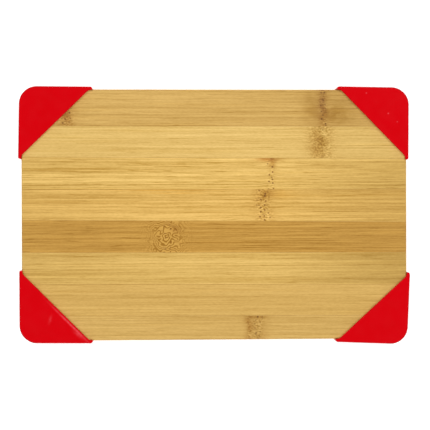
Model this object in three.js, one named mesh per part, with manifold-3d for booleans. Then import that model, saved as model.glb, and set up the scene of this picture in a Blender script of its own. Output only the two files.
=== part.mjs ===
// A bamboo cutting board of three cross-laminated plies, with a slip-on silicone cap on each corner.
// Millimetres. +X runs along the board, +Y across it, +Z up. The origin is under the board's centre,
// on the surface that the caps stand on.

import * as THREE from 'three';
import { mergeVertices } from 'three/addons/utils/BufferGeometryUtils.js';
import Module from 'manifold-3d';

// Board
const BOARD_LENGTH = 300;
const BOARD_WIDTH = 195;
const BOARD_CORNER_RADIUS = 11.5;
const EDGE_ROUNDING = 1;

// Plies, from the bottom up: a lengthwise face ply, a crosswise core ply and a lengthwise face ply
const FACE_PLY_THICKNESS = 4.5;
const CORE_PLY_THICKNESS = 4.8;
const GLUE_LINE = 0.1;
const FACE_STRIP_PITCH = 24.6;
const TOP_FRONT_STRIP_WIDTH = 18.8;
const BOTTOM_FRONT_STRIP_WIDTH = 26.2;
const CORE_STRIP_COUNT = 12;

// How far each inner seam of a face ply strays towards the back over the board's length, from the
// front seam to the back one, because the strips taper a little
const TOP_SEAM_DRIFTS = [-1.2, -1.4, -0.8, -2.2, 0.1, -1.6, -0.3];
const BOTTOM_SEAM_DRIFTS = [0.6, -0.4, 1.1, 0.3, 1.4, -0.2, 0.8];

// Corner caps
const CAP_CLEARANCE = 0.25;
const CAP_WALL = 1.8;
const CAP_LENGTH = 55;
const CAP_FLAP_THICKNESS = 1.75;
const CAP_FLAP_LEG = 52;
const CAP_FLAP_FILLET = 6;
const CAP_LIP = 0.4;
const CAP_END_OUTER_RADIUS = 1.6;
const CAP_END_INNER_RADIUS = 0.6;
const CAP_EDGE_ROUNDING = 0.5;

// Facets
const CORNER_ARC_STEPS = 16;
const SMALL_ARC_STEPS = 5;
const ROUNDING_STEPS = 4;

// What follows from the driving dimensions
const BOARD_THICKNESS = 2 * FACE_PLY_THICKNESS + CORE_PLY_THICKNESS + 2 * GLUE_LINE;
const BOARD_BOTTOM = CAP_FLAP_THICKNESS + CAP_CLEARANCE;
const CORE_BOTTOM = BOARD_BOTTOM + FACE_PLY_THICKNESS + GLUE_LINE;
const TOP_PLY_BOTTOM = CORE_BOTTOM + CORE_PLY_THICKNESS + GLUE_LINE;
const CAP_HEIGHT = BOARD_BOTTOM + BOARD_THICKNESS + CAP_CLEARANCE + CAP_FLAP_THICKNESS;
const CAP_PROUD = CAP_CLEARANCE + CAP_WALL;
const CAP_CORNER_RADIUS = BOARD_CORNER_RADIUS + CAP_PROUD;

const wasm = await Module();
wasm.setup();

const faceBamboo = new THREE.MeshStandardMaterial({ color: 0xdcb168, roughness: 0.55, metalness: 0 });
const coreBamboo = new THREE.MeshStandardMaterial({ color: 0xd0a25c, roughness: 0.6, metalness: 0 });
const redSilicone = new THREE.MeshStandardMaterial({ color: 0xd8081a, roughness: 0.4, metalness: 0 });

// A three.js geometry as a manifold-3d solid.
function solidOf(geometry) {
  const bare = geometry.index ? geometry.toNonIndexed() : geometry;
  bare.deleteAttribute('normal');
  bare.deleteAttribute('uv');
  const merged = mergeVertices(bare, 1e-4);
  return new wasm.Manifold(new wasm.Mesh({
    numProp: 3,
    vertProperties: Float32Array.from(merged.attributes.position.array),
    triVerts: Uint32Array.from(merged.index.array),
  }));
}

// A manifold-3d solid as a named three.js mesh.
function meshOf(name, solid, material) {
  const { vertProperties, triVerts, numProp } = solid.getMesh();
  const geometry = new THREE.BufferGeometry();
  const positions = new THREE.InterleavedBuffer(vertProperties, numProp);
  geometry.setAttribute('position', new THREE.InterleavedBufferAttribute(positions, 3, 0));
  geometry.setIndex(new THREE.BufferAttribute(triVerts, 1));
  const mesh = new THREE.Mesh(geometry.toNonIndexed(), material);
  mesh.geometry.computeVertexNormals();
  mesh.name = name;
  return mesh;
}

// A closed outline whose corners are rounded. Each corner is { x, y, radius, steps }.
function roundedOutline(corners) {
  const points = [];
  corners.forEach((corner, i) => {
    const at = new THREE.Vector2(corner.x, corner.y);
    if (!corner.radius) {
      points.push(at);
      return;
    }
    const before = corners[(i + corners.length - 1) % corners.length];
    const after = corners[(i + 1) % corners.length];
    const toBefore = new THREE.Vector2(before.x, before.y).sub(at).normalize();
    const toAfter = new THREE.Vector2(after.x, after.y).sub(at).normalize();
    const halfAngle = Math.acos(toBefore.dot(toAfter)) / 2;
    const toCentre = toBefore.clone().add(toAfter).normalize();
    const centre = at.clone().addScaledVector(toCentre, corner.radius / Math.sin(halfAngle));
    const tangent = corner.radius / Math.tan(halfAngle);
    const start = at.clone().addScaledVector(toBefore, tangent).sub(centre);
    const turn = Math.sign(-toBefore.cross(toAfter)) * (Math.PI - 2 * halfAngle);
    for (let step = 0; step <= corner.steps; step += 1) {
      const spoke = start.clone().rotateAround(new THREE.Vector2(), (turn * step) / corner.steps);
      points.push(centre.clone().add(spoke));
    }
  });
  return new THREE.Shape(points);
}

// An upright prism on an outline, with its top and bottom edges rounded.
function prism(outline, bottom, top, rounding) {
  const height = top - bottom;
  const geometry = new THREE.ExtrudeGeometry(outline, {
    depth: height - 2 * rounding,
    steps: 1,
    bevelEnabled: rounding > 0,
    bevelThickness: rounding,
    bevelSize: rounding,
    bevelOffset: -rounding,
    bevelSegments: ROUNDING_STEPS,
  });
  return solidOf(geometry.translate(0, 0, bottom + rounding));
}

// The whole board as one piece, which the strips are cut from.
function boardBody() {
  const x = BOARD_LENGTH / 2;
  const y = BOARD_WIDTH / 2;
  const rounded = { radius: BOARD_CORNER_RADIUS, steps: CORNER_ARC_STEPS };
  const outline = roundedOutline([
    { x: -x, y: -y, ...rounded },
    { x, y: -y, ...rounded },
    { x, y, ...rounded },
    { x: -x, y, ...rounded },
  ]);
  return prism(outline, BOARD_BOTTOM, BOARD_BOTTOM + BOARD_THICKNESS, EDGE_ROUNDING);
}

// The seams across a face ply, from the front edge to the back one, both edges included. A seam is
// { at, drift }: its middle, and how much further back its right end lies than its left end.
function faceSeams(frontStripWidth, drifts) {
  const inner = drifts.map((drift, i) => (
    { at: -BOARD_WIDTH / 2 + frontStripWidth + i * FACE_STRIP_PITCH, drift }
  ));
  return [{ at: -BOARD_WIDTH / 2, drift: 0 }, ...inner, { at: BOARD_WIDTH / 2, drift: 0 }];
}

// The seams along the core ply, from the left end to the right one, both ends included.
function coreSeams() {
  const pitch = BOARD_LENGTH / CORE_STRIP_COUNT;
  return Array.from({ length: CORE_STRIP_COUNT + 1 }, (_, i) => (
    { at: -BOARD_LENGTH / 2 + i * pitch, drift: 0 }
  ));
}

// The upright slab between two seams, which cross the board along X, with half a glue line off each.
// The first and last seams are the board's own edges, so the slab runs on past them.
function slabBetween(seams, index, bottom, top) {
  const reach = BOARD_LENGTH;
  const edge = (seam, isBoardEdge, side) => {
    const at = seam.at + side * (isBoardEdge ? reach : -GLUE_LINE / 2);
    const lean = (seam.drift * reach) / BOARD_LENGTH;
    return { left: at - lean, right: at + lean };
  };
  const front = edge(seams[index], index === 0, -1);
  const back = edge(seams[index + 1], index === seams.length - 2, 1);
  const outline = roundedOutline([
    { x: -reach, y: front.left },
    { x: reach, y: front.right },
    { x: reach, y: back.right },
    { x: -reach, y: back.left },
  ]);
  return prism(outline, bottom, top, 0);
}

// The strips of one ply, each a slice of the board. The core's seams are those of a face ply on a
// quarter turn, so that its strips are numbered from the left.
function ply(name, body, seams, isCrosswise, bottom, thickness, material) {
  const group = new THREE.Group();
  for (let i = 0; i < seams.length - 1; i += 1) {
    const slab = slabBetween(seams, i, bottom, bottom + thickness);
    const turned = isCrosswise ? slab.rotate([0, 0, -90]) : slab;
    group.add(meshOf(`${name}_${i + 1}`, body.intersect(turned), material));
  }
  return group;
}

// A corner cap in its own frame, whose origin is the board's square corner and whose board lies
// towards -X and -Y. Each wall ends in an ear past its flaps, whose long edge blends into a narrow lip
// along the wall.
function capBody() {
  const flapTip = CAP_FLAP_LEG - CAP_LIP;
  const fillet = { radius: CAP_FLAP_FILLET, steps: SMALL_ARC_STEPS };
  const endOuter = { radius: CAP_END_OUTER_RADIUS, steps: SMALL_ARC_STEPS };
  const endInner = { radius: CAP_END_INNER_RADIUS, steps: SMALL_ARC_STEPS };
  const outside = prism(roundedOutline([
    { x: CAP_PROUD, y: CAP_PROUD, radius: CAP_CORNER_RADIUS, steps: CORNER_ARC_STEPS },
    { x: -CAP_LENGTH, y: CAP_PROUD, ...endOuter },
    { x: -CAP_LENGTH, y: -CAP_LIP, ...endInner },
    { x: -flapTip, y: -CAP_LIP, ...fillet },
    { x: -CAP_LIP, y: -flapTip, ...fillet },
    { x: -CAP_LIP, y: -CAP_LENGTH, ...endInner },
    { x: CAP_PROUD, y: -CAP_LENGTH, ...endOuter },
  ]), 0, CAP_HEIGHT, CAP_EDGE_ROUNDING);

  const pocketReach = 2 * CAP_LENGTH;
  const pocketCorner = { radius: BOARD_CORNER_RADIUS + CAP_CLEARANCE, steps: CORNER_ARC_STEPS };
  const pocket = prism(roundedOutline([
    { x: -pocketReach, y: -pocketReach },
    { x: CAP_CLEARANCE, y: -pocketReach },
    { x: CAP_CLEARANCE, y: CAP_CLEARANCE, ...pocketCorner },
    { x: -pocketReach, y: CAP_CLEARANCE },
  ]), CAP_FLAP_THICKNESS, CAP_HEIGHT - CAP_FLAP_THICKNESS, 0);
  return outside.subtract(pocket);
}

// The cap turned to each corner of the board.
function caps() {
  const group = new THREE.Group();
  const body = capBody();
  const corners = [
    { name: 'corner_cap_right_back', x: 1, y: 1, quarterTurns: 0 },
    { name: 'corner_cap_left_back', x: -1, y: 1, quarterTurns: 1 },
    { name: 'corner_cap_left_front', x: -1, y: -1, quarterTurns: 2 },
    { name: 'corner_cap_right_front', x: 1, y: -1, quarterTurns: 3 },
  ];
  corners.forEach(({ name, x, y, quarterTurns }) => {
    const cap = meshOf(name, body, redSilicone);
    cap.position.set((x * BOARD_LENGTH) / 2, (y * BOARD_WIDTH) / 2, 0);
    cap.rotation.z = (quarterTurns * Math.PI) / 2;
    group.add(cap);
  });
  return group;
}

const cuttingBoard = new THREE.Group();
cuttingBoard.name = 'cutting_board';

const body = boardBody();
const topSeams = faceSeams(TOP_FRONT_STRIP_WIDTH, TOP_SEAM_DRIFTS);
const bottomSeams = faceSeams(BOTTOM_FRONT_STRIP_WIDTH, BOTTOM_SEAM_DRIFTS);
cuttingBoard.add(ply('top_strip', body, topSeams, false, TOP_PLY_BOTTOM, FACE_PLY_THICKNESS, faceBamboo));
cuttingBoard.add(ply('core_strip', body, coreSeams(), true, CORE_BOTTOM, CORE_PLY_THICKNESS, coreBamboo));
cuttingBoard.add(ply('bottom_strip', body, bottomSeams, false, BOARD_BOTTOM, FACE_PLY_THICKNESS, faceBamboo));
cuttingBoard.add(caps());

export default cuttingBoard;
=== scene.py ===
"""The looks of a bamboo cutting board with red silicone corner caps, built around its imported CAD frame.

Lengths are in metres in the row frame: +X along the board, +Y across it towards the back, +Z up.
Grain and marks are described in millimetres from the board's centre.
"""

import math

import bmesh
import bpy
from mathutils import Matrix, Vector


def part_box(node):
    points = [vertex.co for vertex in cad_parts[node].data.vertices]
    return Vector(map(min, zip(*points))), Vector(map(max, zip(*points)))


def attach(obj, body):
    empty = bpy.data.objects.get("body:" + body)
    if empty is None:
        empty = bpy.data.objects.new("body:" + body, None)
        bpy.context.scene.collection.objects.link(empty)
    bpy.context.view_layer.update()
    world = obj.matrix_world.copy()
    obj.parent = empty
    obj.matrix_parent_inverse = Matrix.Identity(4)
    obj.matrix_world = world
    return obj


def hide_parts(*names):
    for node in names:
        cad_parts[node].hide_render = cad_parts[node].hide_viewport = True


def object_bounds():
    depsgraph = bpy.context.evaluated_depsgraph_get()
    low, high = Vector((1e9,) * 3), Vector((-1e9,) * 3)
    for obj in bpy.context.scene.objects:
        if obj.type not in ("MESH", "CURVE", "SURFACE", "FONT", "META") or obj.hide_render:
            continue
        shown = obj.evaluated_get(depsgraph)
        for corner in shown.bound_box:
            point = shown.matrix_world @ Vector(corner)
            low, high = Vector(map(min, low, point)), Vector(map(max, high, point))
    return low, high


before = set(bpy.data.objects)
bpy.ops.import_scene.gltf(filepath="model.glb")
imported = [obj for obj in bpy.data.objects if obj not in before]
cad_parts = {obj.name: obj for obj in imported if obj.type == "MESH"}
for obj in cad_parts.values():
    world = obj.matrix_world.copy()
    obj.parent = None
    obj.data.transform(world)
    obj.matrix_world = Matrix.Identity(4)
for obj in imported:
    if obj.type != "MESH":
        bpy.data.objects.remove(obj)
cad_low, cad_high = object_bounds()

MM = 0.001

# Board, as in the CAD frame
BOARD_CORNER_RADIUS = 11.5 * MM
BOARD_EDGE_ROUNDING = 1.0 * MM
GLUE_LINE = 0.1 * MM
TOP_SEAM_DRIFTS = (-1.2, -1.4, -0.8, -2.2, 0.1, -1.6, -0.3)
CORE_SEAM_DRIFTS = (0.0,) * 11
BOTTOM_SEAM_DRIFTS = (0.6, -0.4, 1.1, 0.3, 1.4, -0.2, 0.8)

# Fine relief on the board
SEAM_ROUNDING = 0.09 * MM
GLUE_RECESS = 0.02 * MM
OVERLAP = 0.01 * MM

# Corner caps, as in the CAD frame but for slightly shorter ears and tighter fillets
CAP_CLEARANCE = 0.25 * MM
CAP_PROUD = 2.05 * MM
CAP_LENGTH = 54.3 * MM
CAP_FLAP_THICKNESS = 1.75 * MM
CAP_FLAP_LEG = 52 * MM
CAP_FLAP_FILLET = 4.5 * MM
CAP_LIP = 0.4 * MM
CAP_END_OUTER_RADIUS = 1.6 * MM
CAP_END_INNER_RADIUS = 0.6 * MM

# Rounding of the caps' edges: round the outside, at the walls' ends and along the flaps' long edge
CAP_OUTER_ROUNDING = 1.1 * MM
CAP_END_OUTER_ROUNDING = 0.8 * MM
CAP_END_INNER_ROUNDING = 0.4 * MM
CAP_FLAP_ROUNDING = 0.7 * MM

CORNER_STEPS = 24
ROUNDING_STEPS = 6

# A level surface is shown this much brighter than its base colour.
EXPOSURE = 1.25

# The camera is nearly straight above the board's centre. Its field at the board's face is FIELD_WIDTH.
FIELD_WIDTH = 334.7 * MM
CAMERA_DISTANCE = 0.8
CAMERA_AIM = (-0.2 * MM, -0.2 * MM)
CAMERA_LEAN = (-1.98, 0.24)
CAMERA_ROLL = -0.16
CAMERA_CLIP_START = 0.01
SENSOR_WIDTH = 36.0


# ---------------------------------------------------------------- outlines and solids


class Corner:
    """A corner of an outline: its place, its arc's radius, and the rounding of the edges above and below."""

    def __init__(self, x, y, radius=0.0, rounding=0.0):
        self.at = Vector((x, y))
        self.radius = radius
        self.rounding = rounding


def outline(corners, steps):
    """An anticlockwise outline, as (point, its move inwards for each unit of inset, rounding) rows."""
    rows = []
    for i, corner in enumerate(corners):
        to_before = (corners[i - 1].at - corner.at).normalized()
        to_after = (corners[(i + 1) % len(corners)].at - corner.at).normalized()
        half_angle = to_before.angle(to_after) / 2
        bisector = (to_before + to_after).normalized()
        convex = 1.0 if to_before.cross(to_after) < 0 else -1.0
        if not corner.radius:
            rows.append((corner.at, bisector * (convex / math.sin(half_angle)), corner.rounding))
            continue
        centre = corner.at + bisector * (corner.radius / math.sin(half_angle))
        start = corner.at + to_before * (corner.radius / math.tan(half_angle)) - centre
        turn = convex * (math.pi - 2 * half_angle)
        for step in range(steps + 1):
            angle = turn * step / steps
            cos, sin = math.cos(angle), math.sin(angle)
            spoke = Vector((start.x * cos - start.y * sin, start.x * sin + start.y * cos))
            rows.append((centre + spoke, spoke * (-convex / corner.radius), corner.rounding))
    return rows


def prism(corners, bottom, top, steps=CORNER_STEPS):
    """A closed upright mesh on an outline, with its top and bottom edges rounded as the corners say."""
    rows = outline(corners, steps)
    levels = [(0.0, 0.0)]
    if any(rounding for _, _, rounding in rows):
        turns = [math.pi / 2 * i / ROUNDING_STEPS for i in range(ROUNDING_STEPS + 1)]
        levels = [(1 - math.sin(turn), 1 - math.cos(turn)) for turn in turns]
    bm = bmesh.new()
    rings = []
    for start, rise, order in ((bottom, 1, levels), (top, -1, levels[::-1])):
        for inset, height in order:
            rings.append([
                bm.verts.new((*(point + inwards * (rounding * inset)), start + rise * rounding * height))
                for point, inwards, rounding in rows
            ])
    for lower, upper in zip(rings, rings[1:]):
        for i in range(len(lower)):
            j = (i + 1) % len(lower)
            bm.faces.new((lower[i], lower[j], upper[j], upper[i]))
    bm.faces.new(reversed(rings[0]))
    bm.faces.new(rings[-1])
    return bm


def square(half_length, half_width):
    """The corners of a rectangle about the board's centre."""
    return [Corner(x * half_length, y * half_width) for x, y in ((-1, -1), (1, -1), (1, 1), (-1, 1))]


def object_from(name, bm):
    """A new object in the scene that holds what bm holds."""
    mesh = bpy.data.meshes.new(name)
    bm.to_mesh(mesh)
    bm.free()
    made = bpy.data.objects.new(name, mesh)
    bpy.context.scene.collection.objects.link(made)
    return made


def apply_modifiers(target):
    depsgraph = bpy.context.evaluated_depsgraph_get()
    mesh = bpy.data.meshes.new_from_object(target.evaluated_get(depsgraph), depsgraph=depsgraph)
    target.modifiers.clear()
    target.data = mesh


def combine(target, bm, operation):
    """Keeps what target and bm share, or cuts bm away from target."""
    tool = object_from("tool", bm)
    modifier = target.modifiers.new("combine", "BOOLEAN")
    modifier.operation = operation
    modifier.solver = "EXACT"
    modifier.object = tool
    apply_modifiers(target)
    bpy.data.objects.remove(tool)


def smooth(target, sharp_degrees=40):
    """Smooth shading that stays flat on flat faces and breaks at sharp edges."""
    target.data.shade_smooth()
    target.data.set_sharp_from_angle(angle=math.radians(sharp_degrees))
    weighted = target.modifiers.new("weighted", "WEIGHTED_NORMAL")
    weighted.keep_sharp = True
    apply_modifiers(target)


# ---------------------------------------------------------------- material building


class Shader:
    """A material's node tree, with a short call for each kind of node that the looks use."""

    def __init__(self, name):
        self.material = bpy.data.materials.new(name)
        self.material.use_nodes = True
        self.tree = self.material.node_tree
        self.surface = self.tree.nodes["Principled BSDF"]

    def add(self, kind, inputs=None, **settings):
        node = self.tree.nodes.new(kind)
        for key, value in settings.items():
            setattr(node, key, value)
        for key, value in (inputs or {}).items():
            self.feed(node.inputs[key], value)
        return node

    def feed(self, socket, value):
        if isinstance(value, bpy.types.NodeSocket):
            self.tree.links.new(value, socket)
        else:
            socket.default_value = value

    def math(self, operation, a, b=0.0, c=0.0, clamp=False):
        node = self.add("ShaderNodeMath", {0: a, 1: b, 2: c}, operation=operation, use_clamp=clamp)
        return node.outputs[0]

    def total(self, first, *others):
        for other in others:
            first = self.math("ADD", first, other)
        return first

    def product(self, first, *others):
        for other in others:
            first = self.math("MULTIPLY", first, other)
        return first

    def vector(self, x, y, z):
        return self.add("ShaderNodeCombineXYZ", {0: x, 1: y, 2: z}).outputs[0]

    def millimetres(self):
        """The place on the object, as X, Y and Z in millimetres."""
        place = self.add("ShaderNodeTexCoord").outputs["Object"]
        scaled = self.add("ShaderNodeVectorMath", {0: place, "Scale": 1 / MM}, operation="SCALE")
        return list(self.add("ShaderNodeSeparateXYZ", {0: scaled.outputs[0]}).outputs)

    def noise(self, x, y, z, detail=2.0):
        settings = {"Vector": self.vector(x, y, z), "Scale": 1.0, "Detail": detail, "Roughness": 0.5}
        return self.add("ShaderNodeTexNoise", settings, noise_dimensions="3D").outputs[0]

    def spots(self, x, y, randomness=0.9):
        """How far off the nearest of some scattered points is, one to a unit square, and its own number."""
        settings = {"Vector": self.vector(x, y, 0.0), "Scale": 1.0, "Randomness": randomness}
        node = self.add("ShaderNodeTexVoronoi", settings, voronoi_dimensions="2D")
        number = self.add("ShaderNodeSeparateColor", {0: node.outputs["Color"]}).outputs[0]
        return node.outputs["Distance"], number

    def between(self, value, start, end, low=0.0, high=1.0):
        """low up to start, high from end on, and a smooth step between them. start may lie past end."""
        settings = {"Value": value, "From Min": start, "From Max": end, "To Min": low, "To Max": high}
        return self.add("ShaderNodeMapRange", settings, interpolation_type="SMOOTHSTEP").outputs[0]

    def bell(self, value, centre, width):
        """One at the centre, falling away smoothly on both sides over the width."""
        share = self.math("DIVIDE", self.math("SUBTRACT", value, centre), width)
        return self.math("EXPONENT", self.product(share, share, -1.0))

    def swing(self, value, amount):
        """Noise, which averages a half, as an amount either side of nought."""
        return self.math("MULTIPLY_ADD", value, 2.0 * amount, -amount)

    def mix(self, factor, a, b, blend="MIX"):
        node = self.add("ShaderNodeMix", data_type="RGBA", blend_type=blend, clamp_factor=False)
        self.feed(node.inputs[0], factor)
        self.feed(node.inputs[6], a)
        self.feed(node.inputs[7], b)
        return node.outputs[2]

    def tint(self, colour, amount, tint):
        return self.mix(amount, colour, (*tint, 1.0), "MULTIPLY")

    def finish(self, colour, roughness, height, depth):
        """Wires the colour, the roughness and a bump, where a height of 1 is depth metres."""
        relief = self.add("ShaderNodeBump", {"Strength": 1.0, "Distance": depth, "Height": height})
        self.feed(self.surface.inputs["Base Color"], colour)
        self.feed(self.surface.inputs["Roughness"], roughness)
        self.feed(self.surface.inputs["Normal"], relief.outputs[0])
        return self.material


def base_colour(red, green, blue, scale=(1, 1, 1)):
    """The base colour that a level surface needs to be shown as a 0 to 255 screen colour, and scaled."""
    shares = [v / 255 for v in (red, green, blue)]
    linear = [v / 12.92 if v <= 0.04045 else ((v + 0.055) / 1.055) ** 2.4 for v in shares]
    return (*(v * k / EXPOSURE for v, k in zip(linear, scale)), 1.0)


# ---------------------------------------------------------------- what each strip looks like

# Tints of the marks, by which a strip's colour is multiplied
ORANGE = (0.97, 0.85, 0.52)
RUST = (0.74, 0.54, 0.32)
BROWN = (0.77, 0.66, 0.46)
TAN = (0.78, 0.71, 0.50)
PLUM = (0.69, 0.57, 0.50)


class Knuckle:
    """A joint of the bamboo stalk, which crosses a strip: where it is, how wide, and what shows in it."""

    def __init__(self, at, width, curl=0.0, dots=0.0, mottle=0.0, shade=0.0):
        self.at = at
        self.width = width
        self.curl = curl
        self.dots = dots
        self.mottle = mottle
        self.shade = shade


class Stain:
    """A soft-edged mark on a strip. With a strength above 1 it goes beyond its tint."""

    def __init__(self, along, across, length, width, tint, strength):
        self.along = along
        self.across = across
        self.length = length
        self.width = width
        self.tint = tint
        self.strength = strength


class Look:
    """A strip's mean screen colour, how much painted shade, where the light falls off, changes it towards its
    two ends, its grain and its marks.

    grain is how much its streaks stand out, and reach is how long they run.
    """

    def __init__(self, tone, ends=(0.0, 0.0), grain=1.0, reach=1.0, seed=1, knuckles=(), stains=()):
        self.tone = tone
        self.ends = ends
        self.grain = grain
        self.reach = reach
        self.seed = seed
        self.knuckles = knuckles
        self.stains = stains


# In each look, the pair after the colour is the painted shade towards the strip's two ends.
TOP_LOOKS = {
    "top_strip_8": Look(
        (210, 167, 87), (0.0, -0.15), 1.0, 1.0, 1,
        [
            Knuckle(84.7, 3.0, dots=0.9, mottle=0.9, shade=0.9),
            Knuckle(-115, 4.5, dots=1.0, mottle=1.2, shade=0.9),
        ],
        [
            Stain(84, 86, 2.5, 8, PLUM, 1.1),
            Stain(95, 78, 13, 9, TAN, 1.5),
            Stain(75, 83, 7, 12, TAN, 1.1),
            Stain(-115, 77, 3.5, 6, BROWN, 0.9),
        ],
    ),
    "top_strip_7": Look(
        (228, 188, 105), (-0.05, -0.10), 0.8, 1.0, 2,
        [Knuckle(82.5, 8.5, curl=0.15, dots=0.4, mottle=1.5, shade=0.35)],
        [Stain(82, 56, 8, 14, TAN, 1.2), Stain(79, 55, 4, 9, BROWN, 0.8)],
    ),
    "top_strip_6": Look(
        (229, 186, 99), (-0.10, -0.21), 1.65, 1.5, 3,
        [Knuckle(43.8, 3.4, dots=0.9, mottle=0.5, shade=0.15)],
        [Stain(41, 43.2, 8, 1.9, RUST, 1.2), Stain(45, 40, 3, 4, BROWN, 1.2)],
    ),
    "top_strip_5": Look(
        (230, 184, 96), (-0.13, -0.22), 1.3, 1.8, 4,
        [Knuckle(37.5, 6, dots=1.0, mottle=1.1, shade=0.45)],
        [
            Stain(-38, 19.2, 38, 0.8, ORANGE, 1.0),
            Stain(-34, 16.8, 30, 0.6, ORANGE, 0.8),
            Stain(52, 16, 10, 4, ORANGE, 0.5),
            Stain(39, 16, 6, 6, TAN, 1.3),
        ],
    ),
    "top_strip_4": Look(
        (199, 149, 61), (-0.07, -0.08), 1.3, 0.8, 5,
        [Knuckle(-37.6, 13, curl=1.0, dots=0.4, mottle=0.3, shade=0.1)],
        [Stain(-31, -11, 4, 3, BROWN, 0.8)],
    ),
    "top_strip_3": Look((220, 178, 93), (-0.11, -0.24), 1.1, 2.0, 6),
    "top_strip_2": Look((213, 170, 88), (0.0, -0.03), 0.75, 1.5, 7),
    "top_strip_1": Look(
        (212, 170, 90), (0.01, -0.03), 0.8, 1.2, 8,
        [
            Knuckle(26, 1.8, dots=0.4, mottle=0.9, shade=0.9),
            Knuckle(33, 4.5, dots=0.9, mottle=0.9, shade=0.4),
        ],
        [Stain(32, -80, 9, 3.0, TAN, 1.0), Stain(33, -90, 6, 8, TAN, 0.5)],
    ),
}


def hidden_look(seed):
    """The look of a strip that the working face doesn't show, a little unlike its neighbours'."""
    drift = 8 * math.sin(seed * 2.4)
    knuckles = []
    if seed % 3:
        knuckles.append(Knuckle(120 * math.sin(seed * 1.7), 5, curl=0.5, dots=0.8, mottle=0.6, shade=0.15))
    return Look((216 + drift, 174 + drift, 97 + drift), (-0.04, -0.06), 1.2, 1.0, seed, knuckles)


# ---------------------------------------------------------------- bamboo

# Strips are cut this far apart from the same endless bamboo, so that no two are alike.
SEED_SPACING = 61.7

# Layers of streaks: length and width in mm, and strength. A strip's reach stretches the long ones.
LONG_STREAKS = ((240, 9.0, 0.20), (150, 2.2, 0.28), (130, 1.1, 0.55))
SHORT_STREAKS = ((90, 0.6, 0.30), (36, 0.8, 0.45))
DASHES = (14, 0.6, -0.35)

# The side to side wander of a knuckle's middle line, and how far it bends the fibres, in mm
KNUCKLE_WANDER = 2.2
KNUCKLE_BEND = 2.4

# The wood between two fibres is paler than its mean colour, and a fibre is darker and lies lower.
PALE = (1.19, 1.25, 1.45)
DARK = (0.805, 0.765, 0.61)
FIBRE_RELIEF = 0.04 * MM

# Tints of the cut ends of bundles and of golden bands, and how much of a strip's painted end shade red, green
# and blue take
DOT = (0.42, 0.31, 0.17)
GOLDEN = (1.0, 0.97, 0.84)
END_SHADE_RGB = (1.0, 1.15, 1.7)

# Pith and bundles on the faces that the fibres run into
END_PALE = (0.95, 0.92, 0.90)
END_DARK = (0.55, 0.46, 0.32)

GLUE_RELIEF = 0.02 * MM


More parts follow.
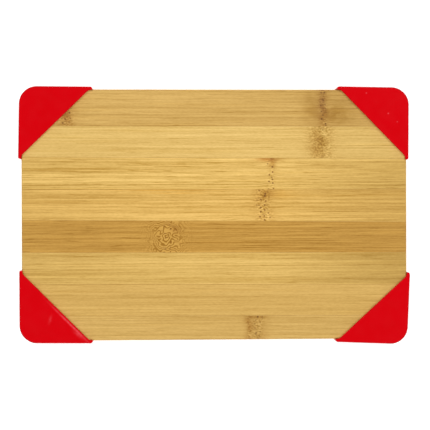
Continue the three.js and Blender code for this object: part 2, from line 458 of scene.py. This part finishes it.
class Bamboo(Shader):
    """Flat-pressed bamboo whose fibres run along X, or along Y if it isn't lengthwise."""

    def __init__(self, name, look, lengthwise, middle):
        super().__init__(f"{name}_bamboo")
        self.look = look
        x, y, self.depth = self.millimetres()
        self.along, self.across = (x, y) if lengthwise else (y, x)
        self.end_axis = 0 if lengthwise else 1
        self.middle = middle
        self.shift = SEED_SPACING * look.seed
        waver = self.swing(self.cloud(140, 18, detail=1.0), 0.2)
        bends = []
        for knuckle in look.knuckles:
            bend = self.swing(self.cloud(9, 7, knuckle.at, 1.0), KNUCKLE_BEND)
            bends.append(self.product(self.mask(knuckle, 1.7), bend))
        self.course = self.total(self.across, waver, *bends)

    def stretched(self, across, length, width, offset, detail):
        """Noise with features that long and that wide, where across says how far across a place is."""
        along = self.math("MULTIPLY_ADD", self.along, 1 / length, self.shift + offset)
        across, depth = (self.product(v, 1 / width) for v in (across, self.depth))
        return self.noise(along, across, depth, detail)

    def cloud(self, length, width, offset=0.0, detail=2.0):
        """Noise that keeps straight along the strip."""
        return self.stretched(self.across, length, width, offset, detail)

    def fibres(self, length, width, detail=1.0):
        """Noise that follows the fibres' course."""
        return self.stretched(self.course, length, width, 0.0, detail)

    def mask(self, knuckle, spread=1.0):
        """How far a place is within a knuckle, which wanders as it crosses the strip."""
        line = self.noise(self.shift, self.product(self.across, 1 / 6), knuckle.at)
        wander = self.swing(line, KNUCKLE_WANDER)
        return self.bell(self.math("SUBTRACT", self.along, wander), knuckle.at, knuckle.width * spread)

    def rings(self, knuckle):
        """Bundles that curl round the middle of a knuckle, as bent rings."""
        across = self.math("SUBTRACT", self.across, self.middle)
        along = self.math("SUBTRACT", self.along, knuckle.at)
        squares = self.total(self.product(across, across), self.product(along, along, 0.7))
        turns = self.total(
            self.product(self.math("SQRT", squares), 1 / 2.1),
            self.swing(self.cloud(8, 6, 3.3, 0.0), 2.3),
            self.swing(self.cloud(3.4, 3.0, 4.4, 0.0), 1.3),
        )
        return self.between(self.math("SINE", self.product(turns, 2 * math.pi)), -1.0, 0.5, -0.65, 0.95)

    def tone(self):
        """0 in the darkest fibres and 1 in the palest wood between them, and a little beyond both."""
        look = self.look
        streaks = [(length * look.reach, width, strength) for length, width, strength in LONG_STREAKS]
        tone = 0.5
        for length, width, strength in (*streaks, *SHORT_STREAKS):
            tone = self.total(tone, self.swing(self.fibres(length, width), strength * look.grain))
        length, width, strength = DASHES
        dashes = self.between(self.fibres(length, width, 0.0), 0.64, 0.76)
        tone = self.total(tone, self.product(dashes, strength * look.grain))
        tone = self.total(tone, self.swing(self.cloud(2.4, 0.6, 9.1, 0.0), 0.22))
        specks = self.swing(self.cloud(1.8, 0.9, 7.7, 1.0), 1.8)
        for knuckle in look.knuckles:
            tone = self.total(tone, self.product(self.mask(knuckle), specks, knuckle.mottle))
            if knuckle.curl:
                change = self.math("SUBTRACT", self.rings(knuckle), tone)
                tone = self.total(tone, self.product(self.mask(knuckle), change, knuckle.curl))
        return self.math("MAXIMUM", self.math("MINIMUM", tone, 1.4), -0.4)

    def dots(self):
        """The cut ends of bundles, which turn upwards in a knuckle: small dark dots in a loose row."""
        distance, number = self.spots(
            self.math("MULTIPLY_ADD", self.along, 1 / 3.6, self.shift), self.product(self.across, 1 / 3.2)
        )
        dots = self.product(self.between(distance, 0.27, 0.14), self.between(number, 0.2, 0.6, 0.4, 1.0))
        shares = [
            self.between(self.product(self.mask(knuckle, 0.8), knuckle.dots), 0.2, 0.6)
            for knuckle in self.look.knuckles
        ]
        return self.product(dots, self.total(0.0, *shares))

    def marked(self, colour):
        """The colour with golden bands, stains and the shade of the knuckles on it."""
        golden = self.between(self.fibres(120 * self.look.reach, 3.2), 0.52, 0.72, 0.0, 0.45)
        colour = self.tint(colour, golden, GOLDEN)
        patches = self.cloud(7, 5, 5.1, 3.0)
        for stain in self.look.stains:
            patch = self.product(
                self.bell(self.along, stain.along, stain.length),
                self.bell(self.across, stain.across, stain.width),
                self.between(patches, 0.2, 0.6, 0.35 * stain.strength, stain.strength),
            )
            colour = self.tint(colour, patch, stain.tint)
        for knuckle in self.look.knuckles:
            patch = self.between(patches, 0.3, 0.7, 0.4 * knuckle.shade, 1.3 * knuckle.shade)
            colour = self.tint(colour, self.product(self.mask(knuckle, 1.7), patch), BROWN)
        return colour

    def shaded_towards_ends(self, colour):
        """The colour with painted shade towards the board's two ends, where the light falls off."""
        left = self.between(self.along, -20, -150, 0.0, self.look.ends[0])
        right = self.between(self.along, 30, 150, 0.0, self.look.ends[1])
        end_shade = self.total(left, right)
        shares = [self.math("MULTIPLY_ADD", end_shade, strength, 1.0) for strength in END_SHADE_RGB]
        return self.mix(1.0, colour, self.vector(*shares), "MULTIPLY")

    def end_grain(self):
        """The faces that the fibres run into, where the cut bundles are dark dots in paler pith."""
        distance, _ = self.spots(
            self.math("MULTIPLY_ADD", self.across, 1 / 0.95, self.shift), self.product(self.depth, 1 / 0.8)
        )
        across, depth = (self.product(v, 1 / 2.4) for v in (self.across, self.depth))
        pith = self.noise(across, self.shift, depth, 3.0)
        tone = self.math("MULTIPLY_ADD", pith, 1.2, -0.15)
        tone = self.total(tone, self.product(self.between(distance, 0.40, 0.20), -0.55))
        tone = self.math("MAXIMUM", tone, 0.0)
        return self.mix(tone, base_colour(*self.look.tone, END_DARK), base_colour(*self.look.tone, END_PALE))

    def material_made(self):
        tone = self.tone()
        dots = self.dots()
        colour = self.mix(tone, base_colour(*self.look.tone, DARK), base_colour(*self.look.tone, PALE))
        # Painted shade towards the board's ends is laid on last.
        colour = self.shaded_towards_ends(self.tint(self.marked(colour), dots, DOT))
        normal = self.add("ShaderNodeTexCoord").outputs["Normal"]
        facing = self.add("ShaderNodeSeparateXYZ", {0: normal}).outputs[self.end_axis]
        end_face = self.between(self.math("ABSOLUTE", facing), 0.55, 0.8)
        colour = self.mix(end_face, colour, self.end_grain())
        self.surface.inputs["Specular IOR Level"].default_value = 0.3
        roughness = self.math("MULTIPLY_ADD", tone, 0.14, 0.44)
        height = self.total(self.product(tone, 0.6), self.product(dots, -1.0))
        return self.finish(colour, roughness, height, FIBRE_RELIEF)


def glue_material():
    """Amber glue, a little lighter and darker along the line."""
    s = Shader("glue")
    x, y, z = s.millimetres()
    cloud = s.noise(s.product(x, 1 / 11), s.product(y, 1 / 11), s.product(z, 1 / 2.5), 3.0)
    colour = s.mix(cloud, base_colour(140, 98, 42), base_colour(186, 140, 68))
    return s.finish(colour, s.math("MULTIPLY_ADD", cloud, 0.2, 0.35), cloud, GLUE_RELIEF)


# ---------------------------------------------------------------- the board


class Ply:
    """One ply: its strips in order, the drift of the seams between them, and which way its fibres run."""

    def __init__(self, name, drifts, lengthwise, seed):
        self.drifts = [drift * MM for drift in drifts]
        self.lengthwise = lengthwise
        self.seed = seed
        self.across = 1 if lengthwise else 0
        self.strips = [f"{name}_strip_{i + 1}" for i in range(len(drifts) + 1)]
        self.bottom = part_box(self.strips[0])[0][2]
        self.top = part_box(self.strips[0])[1][2]

    def seam(self, index, side, reach):
        """A glue line's edge where x is -reach and where it is reach. side is -1, or 1 for its back edge."""
        drift = self.drifts[index]
        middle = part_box(self.strips[index])[1][self.across] + GLUE_LINE / 2 - abs(drift) / 2
        edge = middle + side * GLUE_LINE / 2
        lean = drift * reach / (2 * HALF_LENGTH)
        return edge - lean, edge + lean

    def slab(self, front, back, reach, rounding):
        """The corners of an upright slab across the board, between two edges."""
        places = [(-reach, front[0]), (reach, front[1]), (reach, back[1]), (-reach, back[0])]
        if not self.lengthwise:
            places = [(across, -along) for along, across in places]
        return [Corner(*place, rounding=rounding) for place in places]

    def strip_slab(self, index, reach, rounding=0.0):
        """The slab that a strip is cut by. The first and the last run on past the board's edge."""
        front = (-reach, -reach) if index == 0 else self.seam(index - 1, 1, reach)
        back = (reach, reach) if index == len(self.drifts) else self.seam(index, -1, reach)
        return self.slab(front, back, reach, rounding)


HALF_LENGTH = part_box("top_strip_1")[1][0]
HALF_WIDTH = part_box("core_strip_1")[1][1]
REACH = 2 * HALF_LENGTH


def board_corners(inset=0.0):
    """The board's outline."""
    corners = square(HALF_LENGTH - inset, HALF_WIDTH - inset)
    for corner in corners:
        corner.radius = BOARD_CORNER_RADIUS - inset
        corner.rounding = BOARD_EDGE_ROUNDING
    return corners


def strip(ply, index, bottom, top):
    """One strip, cut from the rounded board, with its seam edges eased as sanding leaves them."""
    name = ply.strips[index]
    piece = object_from(f"{name}_bamboo", prism(board_corners(), bottom, top))
    low = ply.bottom - (OVERLAP if ply.bottom == bottom else 0)
    high = ply.top + (OVERLAP if ply.top == top else 0)
    combine(piece, prism(ply.strip_slab(index, REACH, SEAM_ROUNDING), low, high), "INTERSECT")
    smooth(piece)
    look = TOP_LOOKS.get(name) or hidden_look(ply.seed + index)
    start, end = (corner[ply.across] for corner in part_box(name))
    material = Bamboo(name, look, ply.lengthwise, (start + end) / 2 / MM).material_made()
    piece.data.materials.append(material)
    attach(piece, "board")
    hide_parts(name)


def glue_lines(plies, bottom, top):
    """The glue: what is left of a board a hair smaller than the wood's, once the strips are cut away."""
    whole = prism(board_corners(GLUE_RECESS), bottom + GLUE_RECESS, top - GLUE_RECESS)
    glue = object_from("glue_lines", whole)
    for ply in plies:
        for index in range(len(ply.strips)):
            combine(glue, prism(ply.strip_slab(index, REACH), ply.bottom, ply.top), "DIFFERENCE")
    glue.data.materials.append(glue_material())
    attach(glue, "board")


def board():
    plies = [
        Ply("bottom", BOTTOM_SEAM_DRIFTS, True, 20),
        Ply("core", CORE_SEAM_DRIFTS, False, 30),
        Ply("top", TOP_SEAM_DRIFTS, True, 1),
    ]
    bottom = plies[0].bottom
    top = plies[-1].top
    for ply in plies:
        for index in range(len(ply.strips)):
            strip(ply, index, bottom, top)
    glue_lines(plies, bottom, top)


# ---------------------------------------------------------------- corner caps


class Seat:
    """How askew a soft cap sits.

    Each pair says how far a wall leans outwards, in millimetres, at the cap's corner and at the wall's end.
    """

    def __init__(self, long_edge, short_edge):
        self.long_edge = long_edge
        self.short_edge = short_edge

    def shift(self, from_end, from_side):
        """The outward move, in X and in Y, of a point that far in from the board's end and side."""
        share_x = from_side / CAP_LENGTH
        share_y = from_end / CAP_LENGTH
        x = self.short_edge[0] + (self.short_edge[1] - self.short_edge[0]) * share_x
        y = self.long_edge[0] + (self.long_edge[1] - self.long_edge[0]) * share_y
        return x * MM, y * MM


SEATS = {
    "corner_cap_left_back": Seat((0.3, -0.15), (-0.6, 0.3)),
    "corner_cap_left_front": Seat((-0.5, -0.1), (-0.35, -0.3)),
    "corner_cap_right_back": Seat((-0.5, 0.3), (-0.25, -0.75)),
    "corner_cap_right_front": Seat((2.4, 0.15), (-1.85, 0.35)),
}

# How far the side of a wall that faces the board moves inwards at most. A wall pressed further gets thinner.
PRESSED_IN = 0.15 * MM

# Painted shade: silicone is drawn a deeper red on its outer sides. Its pale pink marks are smudges, dust and a
# painted highlight.
SILICONE_SIDE_PAINTED_SHADE = (0.60, 0.7, 0.7)
SCUFF_AND_HIGHLIGHT_PINK = base_colour(246, 95, 105)
SILICONE_RELIEF = 0.02 * MM


class ScuffAndHighlight:
    """A pale mark on a cap: its place, its half-length and half-width, its turn, and its strength. Some are
    smudges or dust, and some a painted highlight.
    """

    def __init__(self, x, y, length, width, degrees, strength):
        self.x = x
        self.y = y
        self.length = length
        self.width = width
        self.turn = math.radians(degrees)
        self.strength = strength


SCUFFS_AND_HIGHLIGHTS = {
    "corner_cap_left_front": (
        # The front left cap: a painted highlight along its flap's long edge, in two marks, and then a faint
        # smudge.
        ScuffAndHighlight(-112.5, -84.7, 16, 0.6, -45, 0.7),
        ScuffAndHighlight(-106, -92.5, 4, 1.4, -40, 0.35),
        ScuffAndHighlight(-128, -81, 3, 1.0, 75, 0.2),
    ),
    "corner_cap_right_back": (
        # The right back cap: specks of dust.
        ScuffAndHighlight(118.2, 94.6, 0.5, 0.4, 0, 0.6),
        ScuffAndHighlight(135.4, 78.7, 0.5, 0.5, 0, 0.7),
        ScuffAndHighlight(142.4, 72.2, 0.5, 0.4, 0, 0.6),
    ),
}


class Silicone(Shader):
    """Satin red silicone, with a faint mottle, dulled patches, painted shade on its outer sides, and a cap's
    own pale marks: smudges, dust and painted highlights.
    """

    def __init__(self, name):
        super().__init__(f"{name}_silicone")
        self.scuffs_and_highlights = SCUFFS_AND_HIGHLIGHTS.get(name, ())
        self.place = self.millimetres()

    def cloud(self, size, detail):
        return self.noise(*(self.product(v, 1 / size) for v in self.place), detail)

    def outwardness(self):
        """How squarely a face looks away from the board's centre: 1 on a wall's outer side."""
        normal = self.add("ShaderNodeTexCoord").outputs["Normal"]
        facing = self.add("ShaderNodeSeparateXYZ", {0: normal}).outputs
        sides = [self.math("SIGN", v) for v in self.place[:2]]
        return self.total(self.product(facing[0], sides[0]), self.product(facing[1], sides[1]))

    def scuffed_and_highlighted(self, colour):
        # Pale pink marks: smudges and dust, and on the front left cap a painted highlight.
        patches = self.between(self.cloud(2.5, 1.0), 0.3, 0.6, 0.5, 1.0)
        for scuff_and_highlight in self.scuffs_and_highlights:
            x = self.math("SUBTRACT", self.place[0], scuff_and_highlight.x)
            y = self.math("SUBTRACT", self.place[1], scuff_and_highlight.y)
            cos, sin = math.cos(scuff_and_highlight.turn), math.sin(scuff_and_highlight.turn)
            along = self.total(self.product(x, cos), self.product(y, sin))
            across = self.total(self.product(y, cos), self.product(x, -sin))
            mark = self.product(self.bell(along, 0.0, scuff_and_highlight.length), self.bell(across, 0.0, scuff_and_highlight.width))
            colour = self.mix(self.product(mark, patches, scuff_and_highlight.strength), colour, SCUFF_AND_HIGHLIGHT_PINK)
        return colour

    def material_made(self):
        mottle = self.cloud(14, 3.0)
        grain = self.cloud(0.4, 1.0)
        colour = self.mix(mottle, base_colour(211, 0, 8), base_colour(217, 0, 14))
        # Painted shade: faces turned away from the board's centre are drawn a deeper red.
        colour = self.tint(colour, self.between(self.outwardness(), 0.3, 0.95), SILICONE_SIDE_PAINTED_SHADE)
        colour = self.scuffed_and_highlighted(colour)
        dulled = self.between(self.cloud(8, 4.0), 0.35, 0.75, 0.27, 0.36)
        roughness = self.total(dulled, self.product(grain, 0.05))
        self.surface.inputs["IOR"].default_value = 1.41
        self.surface.inputs["Specular IOR Level"].default_value = 0.07
        return self.finish(colour, roughness, self.math("MULTIPLY_ADD", mottle, 4.0, grain), SILICONE_RELIEF)


def cap_corners():
    """A cap's outline in its own frame, where the board's square corner is the origin and X, Y < 0 inside."""
    flap_tip = CAP_FLAP_LEG - CAP_LIP
    outer_end = {"radius": CAP_END_OUTER_RADIUS, "rounding": CAP_END_OUTER_ROUNDING}
    inner_end = {"radius": CAP_END_INNER_RADIUS, "rounding": CAP_END_INNER_ROUNDING}
    flap = {"radius": CAP_FLAP_FILLET, "rounding": CAP_FLAP_ROUNDING}
    return [
        Corner(CAP_PROUD, CAP_PROUD, BOARD_CORNER_RADIUS + CAP_PROUD, CAP_OUTER_ROUNDING),
        Corner(-CAP_LENGTH, CAP_PROUD, **outer_end),
        Corner(-CAP_LENGTH, -CAP_LIP, **inner_end),
        Corner(-flap_tip, -CAP_LIP, **flap),
        Corner(-CAP_LIP, -flap_tip, **flap),
        Corner(-CAP_LIP, -CAP_LENGTH, **inner_end),
        Corner(CAP_PROUD, -CAP_LENGTH, **outer_end),
    ]


def beyond_board(x, y):
    """How far outside the board's outline a point in a cap's own frame is."""
    if min(x, y) < -BOARD_CORNER_RADIUS:
        return max(x, y)
    return math.hypot(x + BOARD_CORNER_RADIUS, y + BOARD_CORNER_RADIUS) - BOARD_CORNER_RADIUS


def through_wall(x, y, z, bottom, top):
    """How far through a cap's wall a point is: 0 on the side that faces the board, and 1 outside.

    The flaps lie clear of the board's edge, so they count as outside except at the walls' ends.
    """
    between_flaps = bottom + CAP_FLAP_THICKNESS - OVERLAP < z < top - CAP_FLAP_THICKNESS + OVERLAP
    at_end = min(x, y) < CAP_END_OUTER_RADIUS - CAP_LENGTH + OVERLAP
    depth = beyond_board(x, y) - CAP_CLEARANCE
    if depth > -OVERLAP and (between_flaps or at_end):
        return max(depth, 0) / (CAP_PROUD - CAP_CLEARANCE)
    return 1


def held_back(shift, through):
    """A wall's move, where an inward one gets smaller towards the side that faces the board."""
    held = max(shift, -PRESSED_IN)
    return held + (shift - held) * through


def cap(name):
    """A cap: two flaps joined by two walls, hollow to take the board's corner, and pushed on askew."""
    bottom, top = (corner[2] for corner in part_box(name))
    piece = object_from(f"{name}_silicone", prism(cap_corners(), bottom, top))
    far = 2 * CAP_LENGTH
    pocket = [
        Corner(-far, -far),
        Corner(CAP_CLEARANCE, -far),
        Corner(CAP_CLEARANCE, CAP_CLEARANCE, BOARD_CORNER_RADIUS + CAP_CLEARANCE),
        Corner(-far, CAP_CLEARANCE),
    ]
    combine(piece, prism(pocket, bottom + CAP_FLAP_THICKNESS, top - CAP_FLAP_THICKNESS), "DIFFERENCE")

    x_sign = 1 if "right" in name else -1
    y_sign = 1 if "back" in name else -1
    for vertex in piece.data.vertices:
        x, y, z = vertex.co
        shift_x, shift_y = SEATS[name].shift(max(-x, 0), max(-y, 0))
        through = through_wall(x, y, z, bottom, top)
        if x > -BOARD_CORNER_RADIUS - OVERLAP:
            shift_x = held_back(shift_x, through)
        if y > -BOARD_CORNER_RADIUS - OVERLAP:
            shift_y = held_back(shift_y, through)
        vertex.co.x = x_sign * (HALF_LENGTH + x + shift_x)
        vertex.co.y = y_sign * (HALF_WIDTH + y + shift_y)
    if x_sign * y_sign < 0:
        piece.data.flip_normals()
    smooth(piece)
    piece.data.materials.append(Silicone(name).material_made())
    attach(piece, name.replace("corner_", ""))
    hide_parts(name)


def caps():
    for name in sorted(SEATS):
        cap(name)


# ---------------------------------------------------------------- stage, lights and camera

FLOOR_SIZE = 6.0
FLOOR_GLOW = 0.5
FLOOR_THICKNESS = 10 * MM
FLOOR_RELIEF = 0.01 * MM

# Four round lamps about the board: where each is, and its power
LAMP_SIZE = 1.0
LAMPS = {
    "front_left": ((-0.9, -1.1, 1.8), 17.2),
    "front_right": ((0.9, -1.1, 1.8), 16.2),
    "back_left": ((-0.9, 1.1, 1.8), 18.0),
    "back_right": ((0.9, 1.1, 1.8), 22.2),
}


def floor():
    """A plain pale floor that glows a little, as a light table does, so that shadows on it stay faint."""
    s = Shader("floor")
    x, y, _ = s.millimetres()
    cloud = s.noise(s.product(x, 1 / 400), s.product(y, 1 / 400), 0.0)
    colour = s.mix(cloud, (0.80, 0.80, 0.80, 1.0), (0.83, 0.83, 0.83, 1.0))
    s.surface.inputs["Specular IOR Level"].default_value = 0.1
    s.surface.inputs["Emission Color"].default_value = (1.0, 1.0, 1.0, 1.0)
    s.surface.inputs["Emission Strength"].default_value = FLOOR_GLOW
    slab = prism(square(FLOOR_SIZE, FLOOR_SIZE), cad_low[2] - FLOOR_THICKNESS, cad_low[2])
    piece = object_from("floor", slab)
    piece.data.materials.append(s.finish(colour, 0.8, cloud, FLOOR_RELIEF))


def lamp(name, place, power):
    """A round soft lamp that faces the board."""
    light = bpy.data.lights.new(name, "AREA")
    light.shape = "DISK"
    light.size = LAMP_SIZE
    light.energy = power
    holder = bpy.data.objects.new(name, light)
    holder.location = place
    holder.rotation_euler = (-Vector(place)).to_track_quat("-Z", "Y").to_euler()
    holder.visible_camera = False
    bpy.context.scene.collection.objects.link(holder)


def surround():
    """A white studio wall all round, and a dark ceiling."""
    world = bpy.data.worlds.new("surround")
    world.use_nodes = True
    bpy.context.scene.world = world
    nodes = world.node_tree.nodes
    links = world.node_tree.links
    split = nodes.new("ShaderNodeSeparateXYZ")
    links.new(nodes.new("ShaderNodeTexCoord").outputs["Generated"], split.inputs[0])
    falloff = nodes.new("ShaderNodeMapRange")
    falloff.interpolation_type = "SMOOTHSTEP"
    for key, value in (("From Min", 0.2), ("From Max", 0.6), ("To Min", 1.0), ("To Max", 0.05)):
        falloff.inputs[key].default_value = value
    links.new(split.outputs[2], falloff.inputs["Value"])
    background = nodes["Background"]
    background.inputs["Color"].default_value = (1.0, 1.0, 1.0, 1.0)
    links.new(falloff.outputs[0], background.inputs["Strength"])


def studio():
    for name, (place, power) in LAMPS.items():
        lamp(name, place, power)
    surround()
    bpy.context.scene.view_settings.view_transform = "Standard"


def camera():
    data = bpy.data.cameras.new("camera")
    data.sensor_width = SENSOR_WIDTH
    data.lens = SENSOR_WIDTH * CAMERA_DISTANCE / FIELD_WIDTH
    data.clip_start = CAMERA_CLIP_START
    eye = bpy.data.objects.new("camera", data)
    target = Vector((*CAMERA_AIM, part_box("top_strip_1")[1][2]))
    lean = Vector((*(math.tan(math.radians(angle)) for angle in CAMERA_LEAN), 1.0))
    eye.location = target + lean * CAMERA_DISTANCE
    turns = (-CAMERA_LEAN[1], CAMERA_LEAN[0], CAMERA_ROLL)
    eye.rotation_euler = [math.radians(angle) for angle in turns]
    bpy.context.scene.collection.objects.link(eye)
    bpy.context.scene.camera = eye


camera()
board()
caps()
floor()
studio()
